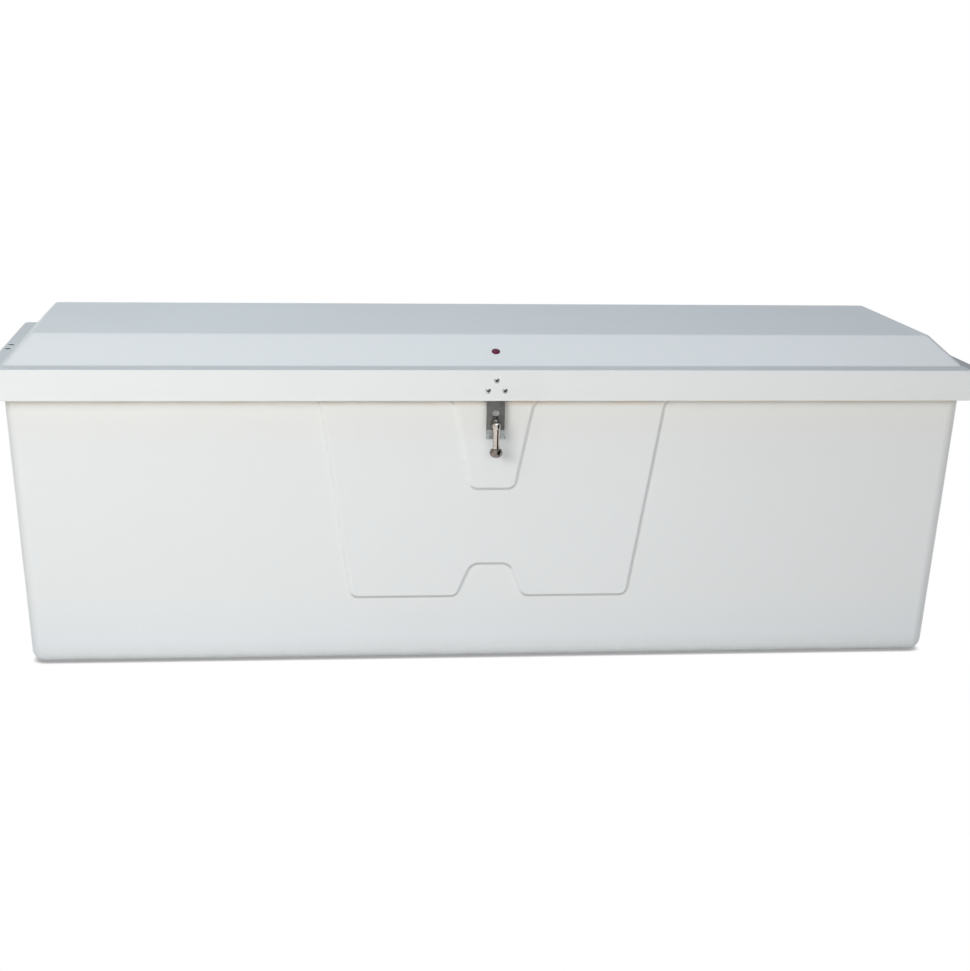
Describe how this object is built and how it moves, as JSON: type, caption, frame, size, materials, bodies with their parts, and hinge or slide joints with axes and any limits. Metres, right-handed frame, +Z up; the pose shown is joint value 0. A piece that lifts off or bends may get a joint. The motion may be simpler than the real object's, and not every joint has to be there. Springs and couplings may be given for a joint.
{
  "type": "dock box",
  "caption": "Long white fibreglass dock box with a drafted tub, a hip-roofed overhanging lid on a full-length rear hinge, gas springs and a turn latch on a stepped front panel.",
  "frame": {"origin": "on the ground, at the middle of the lid's outline in plan", "axes": "+X along the box to the right as seen from the front, +Y from front to back, +Z up"},
  "size_m": [1.854, 0.6574, 0.624],
  "materials": {
    "gelcoat": "glossy white gelcoat over fibreglass",
    "laminate": "bare glassed-in laminate with a painted flow coat",
    "stainless": "satin stainless steel",
    "polished_steel": "polished stainless steel",
    "rod_chrome": "hard chromed rod",
    "strut_black": "black enamel",
    "seal_rubber": "matte black sponge rubber",
    "plug_red": "dark red moulded plastic"
  },
  "bodies": {
    "tub": {"body_shell": "gelcoat", "rim_seal": "seal_rubber", "hinge_body_leaf": "stainless", "hinge_pin": "stainless", "hinge_body_rivets": "stainless", "spring_bracket_left": "stainless", "spring_bracket_right": "stainless", "spring_rivets_left": "stainless", "spring_rivets_right": "stainless", "latch_base": "stainless", "latch_rivets": "stainless", "latch_washer": "stainless"},
    "lid": {"lid_shell": "gelcoat", "rib_left": "laminate", "rib_mid_left": "laminate", "rib_mid_right": "laminate", "rib_right": "laminate", "hinge_lid_leaf": "stainless", "hinge_lid_rivets": "stainless", "lid_bracket_left": "stainless", "lid_bracket_right": "stainless", "lid_screws_left": "stainless", "lid_screws_right": "stainless", "hasp_plate": "stainless", "hasp_rivets": "stainless", "lid_plug": "plug_red"},
    "spring_tube_left": {"spring_tube_left": "strut_black"},
    "spring_tube_right": {"spring_tube_right": "strut_black"},
    "spring_rod_left": {"spring_rod_left": "rod_chrome"},
    "spring_rod_right": {"spring_rod_right": "rod_chrome"},
    "latch_lever": {"turn_lever": "polished_steel", "lever_knob": "polished_steel", "latch_nut": "stainless"}
  },
  "joints": [
    {"name": "lid_hinge", "type": "hinge", "parent": "tub", "child": "lid", "pos_m": [0, 0.3175, 0.512], "axis": [-1, 0, 0], "range_deg": [0, 84]},
    {"name": "spring_tube_left_pivot", "type": "hinge", "parent": "tub", "child": "spring_tube_left", "pos_m": [-0.848, 0.14395, 0.30517], "axis": [-1, 0, 0], "range_deg": [0, 42]},
    {"name": "spring_tube_right_pivot", "type": "hinge", "parent": "tub", "child": "spring_tube_right", "pos_m": [0.848, 0.14395, 0.30517], "axis": [-1, 0, 0], "range_deg": [0, 42]},
    {"name": "spring_rod_left_pivot", "type": "hinge", "parent": "lid", "child": "spring_rod_left", "pos_m": [-0.848, 0.05796, 0.58642], "axis": [-1, 0, 0], "range_deg": [-42, 0]},
    {"name": "spring_rod_right_pivot", "type": "hinge", "parent": "lid", "child": "spring_rod_right", "pos_m": [0.848, 0.05796, 0.58642], "axis": [-1, 0, 0], "range_deg": [-42, 0]},
    {"name": "latch_turn", "type": "hinge", "parent": "tub", "child": "latch_lever", "pos_m": [0, -0.27428, 0.474], "axis": [0, -0.9979, -0.0645], "range_deg": [0, 90]}
  ],
  "couplings": [
    {"joint": "spring_tube_left_pivot", "follows": "lid_hinge", "ratio": 0.5},
    {"joint": "spring_tube_right_pivot", "follows": "lid_hinge", "ratio": 0.5},
    {"joint": "spring_rod_left_pivot", "follows": "lid_hinge", "ratio": -0.5},
    {"joint": "spring_rod_right_pivot", "follows": "lid_hinge", "ratio": -0.5}
  ]
}
